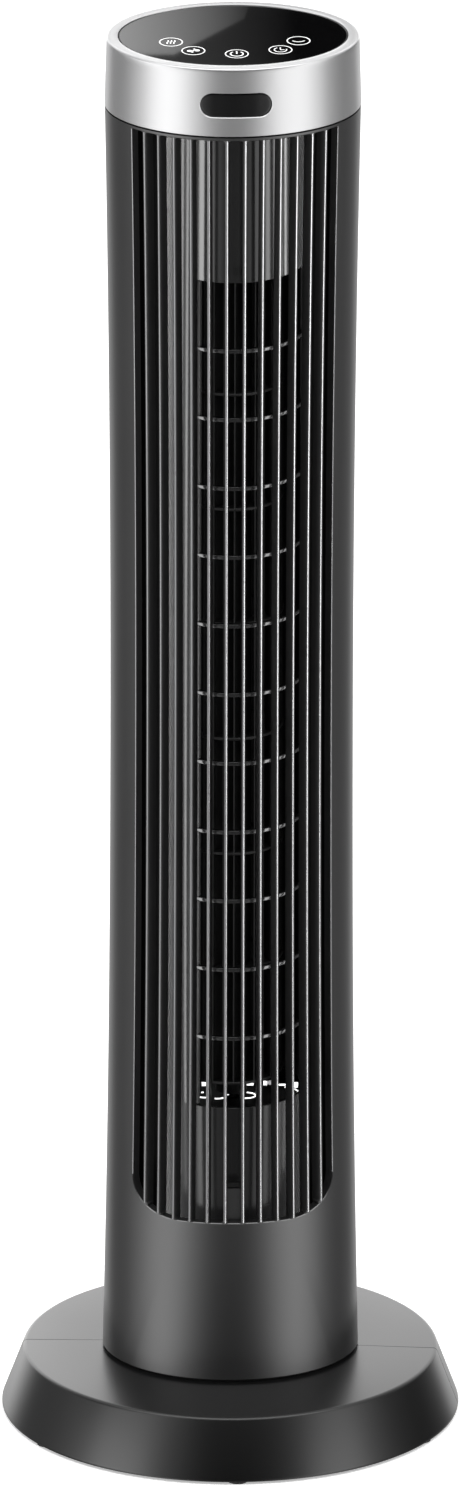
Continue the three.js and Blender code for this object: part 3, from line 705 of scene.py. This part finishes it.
def make_touch_panel():
    """The glass plate with a ground edge, and a printed ring and sign for each key."""
    low, high = panel_low[2], panel_high[2]
    rows = [(0.4, low), (0, low + 0.4), (0, high - 0.5), (0.15, high - 0.15), (0.5, high), (0.9, high),
            (3, high)]
    turns = [math.radians(360 * i / 160) for i in range(160)]
    part = Builder()
    part.loft([[((panel_high[0] - d) * math.sin(a), -(panel_high[1] - d) * math.cos(a), z) for a in turns]
               for d, z in rows], capped=True)
    piece = part.piece("touch_glass", "housing", panel_glass, "panel_glass")
    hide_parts("touch_panel")
    keys = []
    for name, (x, y) in KEYS.items():
        part = Builder()
        lines = [(arc_path(x, y, KEY_R, 0, 360, 64)[:-1], LINE, True)] + key_lines(name, x, y)
        for path, width, closed in lines:
            ribbon(part, path, width, high, high + 0.05, closed)
        keys.append(part.piece(name, "housing", icon_print, "panel_glass"))
    return keys


# ---- the drum and what is in it

DRUM_WALL = 2
RUNG_HALF = 1.5
RUNG_BACK, RUNG_FRONT = DRUM_R - 3.6, DRUM_R - 0.4
IMPELLER_BLADES = 30
IMPELLER_DISCS = 8
DISC_FIRST, DISC_STEP = 250, 85.2
DISC_BORE = 4.3
BLADE_DEPTH = 11
BLADE_SWEEP = 16
BLADE_THICK = 1.7
BLADE_LOW, BLADE_HIGH = DISC_FIRST + 0.5, DISC_FIRST + 597

# Spring wires on the motor's mount: x, y, radius, first and last degree
SPRINGS = ((-17.6, -1, 6.5, 180, 350), (-9.5, -4, 5.5, 60, 200), (10, -2.5, 7, 10, 190), (33, 2, 14, 20, 120))
SPRING_R = 0.5
# Small brackets on the mount: first and last x, y and height
BRACKETS = ((-19.6, -16.4, 15, 2.4), (9, 16.2, 15, 1.6), (23, 39, 14, 0.9), (23, 25, 14, 3.2),
            (41.2, 46.8, 10, 3.6))
BRACKET_THICK = 1.4

# The tab between the middle slats, the slot over it and the catch over the drum's outlet
TAB_T = 3.2
TAB_HIGH = 183
SLOT_LOW, SLOT_HIGH = 183.4, 187.2
TAB_BEHIND = 7.5
CATCH_T = (-1.5, 7)
CATCH_LOW, CATCH_HIGH = 857.6, 863.8


def around(t, radius, z):
    """A point at t degrees from the front towards +X."""
    a = math.radians(t)
    return (radius * math.sin(a), -radius * math.cos(a), z)


def make_drum_shell():
    """The tube with its outlet and intake cut through, softened edges, and painted shade below the outlet."""
    cuts = [OUTLET, DRUM_INTAKE]
    marks = sorted({OUTLET[0], OUTLET[1], DRUM_INTAKE[0], DRUM_INTAKE[1], OUTLET[0] + 360})
    angles = []
    for a, b in zip(marks, marks[1:]):
        steps = max(1, round((b - a) / 2.5))
        angles += [lerp(a, b, i / steps) for i in range(steps)]
    count = len(angles)
    heights = [shell_low[2], shell_low[2] + 0.6, 180, OUTLET_LOW, 320, 440, 560, 680, 780, OUTLET_HIGH,
               shell_high[2] - 0.6, shell_high[2]]

    def solid(i, k):
        middle = (angles[i] + (angles + [angles[0] + 360])[i + 1]) / 2
        z = (heights[k] + heights[k + 1]) / 2
        return not (OUTLET_LOW < z < OUTLET_HIGH and any(a < middle < b for a, b in cuts))

    part = Builder()
    part.points = [around(t, r, z) for r in (DRUM_R - DRUM_WALL, DRUM_R) for z in heights for t in angles]

    def spot(level, i, k):
        return level * len(heights) * count + k * count + i % count

    for i in range(count):
        for k in range(len(heights) - 1):
            if not solid(i, k):
                continue
            for level in (0, 1):
                corners = (i, k), (i + 1, k), (i + 1, k + 1), (i, k + 1)
                part.faces.append(tuple(spot(level, *at) for at in corners))
            edges = [((i, k), (i, k + 1), solid((i - 1) % count, k)),
                     ((i + 1, k), (i + 1, k + 1), solid((i + 1) % count, k)),
                     ((i, k), (i + 1, k), k > 0 and solid(i, k - 1)),
                     ((i, k + 1), (i + 1, k + 1), k < len(heights) - 2 and solid(i, k + 1))]
            for one, two, joined in edges:
                if not joined:
                    part.faces.append((spot(0, *one), spot(0, *two), spot(1, *two), spot(1, *one)))
    piece = part.piece("drum_tube", "drum", drum_satin, "drum_grey", extra=(drum_shaded_low,))
    # Faces below the outlet take the painted-shade copy of the drum's finish
    for polygon in piece.data.polygons:
        polygon.material_index = int(polygon.center.z / MM < OUTLET_LOW)
    soften = piece.modifiers.new("edges", "BEVEL")
    soften.width = 0.35 * MM
    soften.segments = 2
    soften.limit_method = "ANGLE"
    soften.angle_limit = math.radians(50)
    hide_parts("drum_shell")
    return piece


def make_rungs():
    """The outlet's level rungs on two upright rails."""
    part = Builder()
    section = rounded([(RUNG_BACK, -RUNG_HALF), (RUNG_FRONT, -RUNG_HALF), (RUNG_FRONT, RUNG_HALF),
                       (RUNG_BACK, RUNG_HALF)], [0.4, 0.8, 0.8, 0.4])
    a, b = OUTLET[0] + 0.5, OUTLET[1] - 0.5
    for i in range(1, RUNGS + 1):
        z = lerp(OUTLET_LOW, OUTLET_HIGH, i / (RUNGS + 1))
        turns = [lerp(a, b, k / 48) for k in range(49)]
        part.loft([[around(t, r, z + dz) for r, dz in section] for t in turns], capped=True)
    for start, stop in ((a, a + 2), (b - 2, b)):
        corners = [(start, DRUM_R - 4), (start, DRUM_R - 1.2), (stop, DRUM_R - 1.2), (stop, DRUM_R - 4)]
        ends = (OUTLET_LOW + 1, OUTLET_HIGH - 1)
        part.loft([[around(t, r, z) for t, r in corners] for z in ends], capped=True)
    piece = part.piece("outlet_rungs", "drum", drum_satin, "drum_grey")
    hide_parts("outlet_grid")
    return piece


def make_impeller():
    """A cross-flow rotor: curved blades between thin discs, on a shaft. The two end discs reach the shaft."""
    part = Builder()
    outer_r = impeller_high[0]
    inner_r = outer_r - BLADE_DEPTH
    for i in range(IMPELLER_DISCS):
        z = DISC_FIRST + DISC_STEP * i
        bore = DISC_BORE if i in (0, IMPELLER_DISCS - 1) else inner_r
        part.turn([(bore, z), (outer_r - 0.4, z), (outer_r, z + 0.4), (outer_r, z + 1.6),
                   (outer_r - 0.4, z + 2), (bore, z + 2)], 72)
    for i in range(IMPELLER_BLADES):
        t = 360 * i / IMPELLER_BLADES
        path = []
        for k in range(6):
            f = k / 5
            path.append((t + BLADE_SWEEP * f * f, lerp(outer_r - 0.5, inner_r + 0.5, f)))
        outline = path + [(a + BLADE_THICK, r - 0.2) for a, r in path[::-1]]
        part.loft([[around(a, r, z) for a, r in outline] for z in (BLADE_LOW, BLADE_HIGH)], capped=True)
    low, high = DISC_FIRST - 4, impeller_high[2]
    part.turn([(0, low), (4.2, low), (4.2, DISC_FIRST + 3), (2.2, DISC_FIRST + 3.2),
               (2.2, BLADE_HIGH - 2), (3.9, BLADE_HIGH - 1), (3.9, high), (0, high)], 24)
    piece = part.piece("impeller_rotor", "impeller", impeller_black, "inner_black")
    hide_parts("impeller")


def tube(part, path, radius, sides=10):
    """A round wire along a path of points."""
    loops = []
    for i, point in enumerate(path):
        here = Vector(point)
        ahead = (Vector(path[min(i + 1, len(path) - 1)]) - Vector(path[max(i - 1, 0)])).normalized()
        side = ahead.cross(Vector((0, 0, 1))).normalized()
        up = side.cross(ahead)
        turns = [2 * math.pi * k / sides for k in range(sides)]
        loops.append([tuple(here + radius * (math.cos(a) * side + math.sin(a) * up)) for a in turns])
    part.loft(loops, capped=True)


def make_motor_mount():
    """The plated disc over the motor with its stepped rim, given a near-black dull finish as painted shade,
    and spring wires and small brackets painted near white as glints.
    """
    low = mount_low[2]
    outer = mount_high[0]
    part = Builder()
    profile = [(6, low), (outer, low), (outer, low + 0.8), (outer - 0.8, low + 1), (outer - 0.8, low + 1.6),
               (outer - 2.4, low + 1.8), (outer - 2.4, low + 2.6), (outer - 4, low + 3), (6, low + 3)]
    part.turn(profile, 96)
    piece = part.piece("mount_disc", "drum", mount_shade_black, "zinc_steel")
    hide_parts("motor_mount")
    part = Builder()
    z = low + 4.3
    for x, y, reach, start, stop in SPRINGS:
        tube(part, [(px, py, z) for px, py in arc_path(x, y, reach, start, stop, 24, 0.8)], SPRING_R)
    springs = part.piece("mount_springs", "drum", glint_white, "zinc_steel")
    part = Builder()
    for x0, x1, y, tall in BRACKETS:
        far, foot = y + BRACKET_THICK, z + 0.6
        section = [(y, foot), (far, foot), (far, foot + tall), (y, foot + tall)]
        part.loft([[(x, a, b) for a, b in rounded(section, [0, 0, 0.3, 0.4])] for x in (x0, x1)], capped=True)
    brackets = part.piece("mount_brackets", "drum", glint_white, "zinc_steel")
    return [springs, brackets]


def make_tabs():
    """The small fixed tab low between the middle slats with a slot over it, and the catch over the outlet.
    The slot is a black block that stands in for the shade in it.
    """
    for name, low, high, front, material, slot in (
            ("centre_tab", OPENING_LOW - 1, TAB_HIGH, 5.2, charcoal, "body_charcoal"),
            # Painted shade: a black block fills the slot over the tab
            ("centre_slot_shade", SLOT_LOW, SLOT_HIGH, 5.6, inner_black, "inner_black")):
        outline = [(-TAB_T, TAB_BEHIND), (-TAB_T, front), (TAB_T, front), (TAB_T, TAB_BEHIND)]
        part = Builder()
        part.loft([[column_point(t, z, d) for t, d in outline] for z in (low, high - 0.5)], capped=True)
        part.piece(name, "housing", material, slot)
    part = Builder()
    inner_r, outer_r = DRUM_R - 0.2, DRUM_R + 0.7
    rows = rounded([(inner_r, CATCH_LOW), (outer_r, CATCH_LOW), (outer_r, CATCH_HIGH), (inner_r, CATCH_HIGH)],
                   [0, 0.3, 0.3, 0])
    part.loft([[around(lerp(*CATCH_T, k / 4), r, z) for r, z in rows] for k in range(5)], capped=True)
    part.piece("drum_catch", "drum", drum_satin, "drum_grey")


# ---- finishes of the frame's own nodes

FINISHES = {
    "body_charcoal": charcoal, "drum_grey": drum_satin, "trim_silver": silver, "panel_glass": panel_glass,
    "inner_black": inner_black, "rubber_black": rubber, "screw_steel": screw_steel,
    "zinc_steel": zinc_steel, "board_green": board_green, "acetal_white": acetal}


def finish_nodes():
    """Gives each node of the frame that still shows the finish of its slot."""
    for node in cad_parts.values():
        for place in node.material_slots:
            place.material = FINISHES[place.material.name.split(".")[0]]


# ---- floor, light and camera

ELEVATION = 21.1
AZIMUTH = -2.0
ROLL = 0.12
SHIFT = -0.008
# In metres: what the frame's height shows, and the aim's height and side step in the camera's own plane
VIEW_HEIGHT = 1.0303
VIEW_CENTRE = 0.457
VIEW_SIDE = -0.00015


def make_floor():
    """A wide, pale paper floor that doesn't show in reflections."""
    mesh = bpy.data.meshes.new("floor")
    turns = [2 * math.pi * i / 64 for i in range(64)]
    mesh.from_pydata([(60 * math.cos(a), 60 * math.sin(a), 0) for a in turns], [], [tuple(range(64))])
    floor = bpy.data.objects.new("floor", mesh)
    paper = grained("floor_white", (0.88, 0.88, 0.88), (0.92, 0.92, 0.92), (0.8, 0.9), bump=0.0)
    shader = paper.node_tree.nodes["Principled BSDF"]
    shader.inputs["Emission Color"].default_value = (1, 1, 1, 1)
    shader.inputs["Emission Strength"].default_value = 0.4
    mesh.materials.append(paper)
    scene.collection.objects.link(floor)
    floor.visible_glossy = False


def glow(name, strength):
    """A plain emission material."""
    material = bpy.data.materials.new(name)
    material.use_nodes = True
    tree = material.node_tree
    tree.nodes.clear()
    light = tree.nodes.new("ShaderNodeEmission")
    light.inputs["Color"].default_value = (1, 1, 1, 1)
    light.inputs["Strength"].default_value = strength
    out = tree.nodes.new("ShaderNodeOutputMaterial")
    tree.links.new(light.outputs["Emission"], out.inputs["Surface"])
    return material


def fade(material, start, stop, low, high):
    """Lets a card's glow change evenly from one X to another."""
    tree = material.node_tree
    place = tree.nodes.new("ShaderNodeTexCoord")
    parts = tree.nodes.new("ShaderNodeSeparateXYZ")
    level = tree.nodes.new("ShaderNodeMapRange")
    for socket, value in (("From Min", start), ("From Max", stop), ("To Min", low), ("To Max", high)):
        level.inputs[socket].default_value = value
    tree.links.new(place.outputs["Object"], parts.inputs["Vector"])
    tree.links.new(parts.outputs["X"], level.inputs["Value"])
    tree.links.new(level.outputs["Result"], tree.nodes["Emission"].inputs["Strength"])
    return material


def make_card(name, corners, material):
    """A flat studio card that only shows in reflections."""
    mesh = bpy.data.meshes.new(name)
    mesh.from_pydata(corners, [], [tuple(range(len(corners)))])
    mesh.materials.append(material)
    card = bpy.data.objects.new(name, mesh)
    scene.collection.objects.link(card)
    card.visible_camera = False
    card.visible_diffuse = False
    card.visible_shadow = False
    card.visible_transmission = False


def mirrored(x, y, distance):
    """The point that the panel's glass shows at (x, y) in the main view, a distance away in metres."""
    a, e = math.radians(AZIMUTH), math.radians(ELEVATION)
    away = Vector((-math.sin(a) * math.cos(e), math.cos(a) * math.cos(e), math.sin(e)))
    return Vector((x * MM, y * MM, panel_high[2] * MM)) + away * distance


def make_cards():
    """What the touch glass and the ring's crest mirror: a bright card, a dark flag and a pale card behind."""
    flag = [mirrored(x, y, 0.5) for x, y in ((-90, -68), (90, -68), (90, 68), (-90, 68))]
    make_card("panel_flag", flag, fade(glow("flag_black", 0.0), -0.02, 0.06, 0.2, 0.0))
    light = [mirrored(x, y, 0.45) for x, y in ((-90, -35), (-42, -35), (9, 33), (14, 64), (-90, 64))]
    make_card("panel_card", light, fade(glow("card_grey", 1.0), -0.09, 0.03, 2.4, 0.1))
    crest = [mirrored(x, y, 0.56) for x, y in ((-420, -150), (420, -150), (420, 300), (-420, 300))]
    make_card("crest_card", crest, fade(glow("crest_grey", 1.0), -0.12, 0.12, 0.75, 0.6))


def make_light(name, azimuth, elevation, size, power, lit, middle=(0, 0, 0.55), distance=3):
    """A soft light at a direction from a middle point that lights only the given pieces."""
    a, e = math.radians(azimuth), math.radians(elevation)
    way = Vector((math.sin(a) * math.cos(e), -math.cos(a) * math.cos(e), math.sin(e)))
    data = bpy.data.lights.new(name, "AREA")
    data.shape = "RECTANGLE"
    data.size, data.size_y = size
    data.energy = power
    light = bpy.data.objects.new(name, data)
    light.location = Vector(middle) + way * distance
    light.rotation_mode = "QUATERNION"
    light.rotation_quaternion = way.to_track_quat("Z", "Y")
    scene.collection.objects.link(light)
    receivers = bpy.data.collections.new(name + "_lit")
    blockers = bpy.data.collections.new(name + "_blockers")
    for piece in lit:
        receivers.objects.link(piece)
        blockers.objects.link(piece)
    light.light_linking.receiver_collection = receivers
    light.light_linking.blocker_collection = blockers


# The studio's walls low, level and high: (azimuth, brightness) all the way round
LOW_STOPS = ((-180, 1.1), (-150, 1.0), (-128, 0.32), (-100, 0.28), (-75, 0.75), (-62, 1.7), (-50, 2.35),
             (-38, 2.3), (-26, 1.2), (-12, 0.34), (0, 0.24), (12, 0.33), (22, 0.85), (34, 2.0), (50, 2.2),
             (66, 1.25), (80, 0.45), (100, 0.26), (130, 0.4), (150, 1.0), (180, 1.1))
MID_STOPS = ((-180, 2.6), (-150, 2.3), (-128, 0.3), (-104, 0.55), (-92, 1.0), (-80, 1.9), (-68, 2.7),
             (-56, 2.6), (-44, 1.6), (-32, 0.6), (-20, 0.1), (-8, 0.02), (8, 0.02), (18, 0.08), (28, 0.45),
             (38, 1.4), (48, 2.2), (58, 2.3), (68, 1.7), (80, 0.8), (94, 0.25), (112, 0.08), (136, 0.3),
             (152, 2.2), (180, 2.6))
HIGH_STOPS = ((-180, 2.7), (-150, 2.5), (-120, 1.0), (-95, 0.6), (-78, 0.3), (-62, 1.6), (-46, 1.9),
              (-30, 0.7), (-16, 0.04), (0, 0.02), (16, 0.04), (34, 0.4), (52, 1.7), (72, 1.7), (90, 0.4),
              (110, 0.7), (130, 1.0), (150, 2.3), (180, 2.7))
LIGHT_TOP = 6.0
OVERHEAD = 1.3
FRONT_STRIP = 3.0

# The drum's upright stripes of light: azimuth, half angle and watts per square metre
DRUM_STRIPES = ((-128, 26, 190), (-62, 23, 20), (63, 12, 11), (102, 24, 34), (148, 24, 110))
# Elevations of the lights that upright surfaces mirror towards the camera
MIRROR_LOW = -21
SLAT_LOW = -15
HIGH_MIDDLE = (0, 0, 0.95)
BASE_MIDDLE = (0, 0, 0.07)


def make_world():
    """A studio of soft walls: dark in front, bright bands either side, a bright back and an even ceiling."""
    world = bpy.data.worlds.new("studio")
    scene.world = world
    world.use_nodes = True
    tree = world.node_tree
    tree.nodes.clear()
    new = tree.nodes.new

    def feed(value, socket):
        """Sets a socket's plain value, or links another node's output to it."""
        if isinstance(value, (int, float)):
            socket.default_value = value
        else:
            tree.links.new(value, socket)

    def maths(operation, *values):
        node = new("ShaderNodeMath")
        node.operation = operation
        for i, value in enumerate(values):
            feed(value, node.inputs[i])
        return node.outputs["Value"]

    def ramp(stops):
        """The brightness of one wall by azimuth, as a share of LIGHT_TOP."""
        node = new("ShaderNodeValToRGB")
        node.color_ramp.interpolation = "EASE"
        elements = node.color_ramp.elements
        elements.remove(elements[1])
        for i, (azimuth, light) in enumerate(stops):
            at = (azimuth + 180) / 360
            stop = elements[0] if i == 0 else elements.new(at)
            stop.position = at
            stop.color = (light / LIGHT_TOP,) * 3 + (1,)
        feed(share, node.inputs["Fac"])
        return node.outputs["Color"]

    def step(value, low, high):
        node = new("ShaderNodeMapRange")
        node.interpolation_type = "SMOOTHSTEP"
        for socket, number in (("From Min", low), ("From Max", high), ("Value", value)):
            feed(number, node.inputs[socket])
        return node.outputs["Result"]

    def blend(factor, one, two):
        node = new("ShaderNodeMix")
        node.data_type = "FLOAT"
        for socket, value in (("Factor", factor), ("A", one), ("B", two)):
            feed(value, node.inputs[socket])
        return node.outputs["Result"]

    place = new("ShaderNodeTexCoord")
    parts = new("ShaderNodeSeparateXYZ")
    feed(place.outputs["Generated"], parts.inputs["Vector"])
    x, y, z = (parts.outputs[axis] for axis in "XYZ")
    turn = maths("ARCTAN2", x, maths("MULTIPLY", y, -1))
    share = maths("MULTIPLY_ADD", turn, 0.5 / math.pi, 0.5)
    lower = blend(step(z, -0.26, -0.16), ramp(LOW_STOPS), ramp(MID_STOPS))
    walls = blend(step(z, 0.2, 0.32), lower, ramp(HIGH_STOPS))
    above = blend(step(z, 0.5, 0.8), walls, OVERHEAD / LIGHT_TOP)
    band = maths("MULTIPLY", step(z, 0.7, 0.8), step(z, 0.98, 0.9))
    band = maths("MULTIPLY", band, step(y, 0.1, -0.3))
    band = maths("MULTIPLY", band, FRONT_STRIP / LIGHT_TOP)
    shade = new("ShaderNodeBackground")
    feed(maths("MULTIPLY", maths("ADD", above, band), LIGHT_TOP), shade.inputs["Strength"])
    out = new("ShaderNodeOutputWorld")
    feed(shade.outputs["Background"], out.inputs["Surface"])


def make_camera():
    """A camera with parallel rays, a little above the object and turned a little to its left."""
    data = bpy.data.cameras.new("camera")
    data.type = "ORTHO"
    data.ortho_scale = VIEW_HEIGHT
    data.shift_y = SHIFT
    camera = bpy.data.objects.new("camera", data)
    scene.collection.objects.link(camera)
    a, e = math.radians(AZIMUTH), math.radians(ELEVATION)
    back = Vector((math.sin(a) * math.cos(e), -math.cos(a) * math.cos(e), math.sin(e)))
    turn = (-back).to_track_quat("-Z", "Y") @ Quaternion((0, 0, 1), math.radians(ROLL))
    camera.rotation_mode = "QUATERNION"
    camera.rotation_quaternion = turn
    up, right = turn @ Vector((0, 1, 0)), turn @ Vector((1, 0, 0))
    camera.location = back * 3 + right * VIEW_SIDE + up * (VIEW_CENTRE - SHIFT * VIEW_HEIGHT)
    data.clip_end = 100
    scene.camera = camera


base = make_base()
make_front_housing()
highlight_strips = make_slats()
make_rear_housing()
make_baffles()
make_intake()
ring = make_trim_ring()
make_window()
keys = make_touch_panel()
tube_piece = make_drum_shell()
rungs = make_rungs()
make_impeller()
glint_bits = make_motor_mount()
make_tabs()
finish_nodes()
make_floor()
make_cards()
make_world()
for number, (azimuth, half, level) in enumerate(DRUM_STRIPES):
    size = (6 * math.tan(math.radians(half)), 1.4)
    power = level * size[0] * size[1]
    make_light(f"drum_light_{number}", azimuth, MIRROR_LOW, size, power, [tube_piece], middle=(0, 0, 0.9))
make_light("rung_right", 92, MIRROR_LOW, (6, 4), 450, [rungs])
make_light("rung_left", -50, MIRROR_LOW, (1.2, 4), 90, [rungs])
# These lamps light only the painted highlight strips on the slat noses
make_light("slat_right", 35, SLAT_LOW, (1.2, 1.6), 110, [highlight_strips], middle=HIGH_MIDDLE)
make_light("slat_left", -60, SLAT_LOW, (2, 1.6), 25, [highlight_strips], middle=HIGH_MIDDLE)
make_light("bits_light", 0, 60, (2, 2), 500, glint_bits)
make_light("key_light", 0, 60, (2, 2), 75, keys)
make_light("ring_left", -42, MIRROR_LOW, (2.6, 2.4), 2.5, [ring], middle=HIGH_MIDDLE)
make_light("ring_right", 26, MIRROR_LOW, (1.0, 2.4), 2, [ring], middle=HIGH_MIDDLE)
make_light("base_back", 205, 21, (0.8, 0.8), 1.5, base, middle=(-0.1, 0, 0.09), distance=1)
make_light("base_left", -59, 3, (1.6, 1.6), 14, base, middle=BASE_MIDDLE)
make_light("base_right", 52, 3, (1.6, 1.6), 10, base, middle=BASE_MIDDLE)
make_camera()
scene.view_settings.view_transform = "Standard"
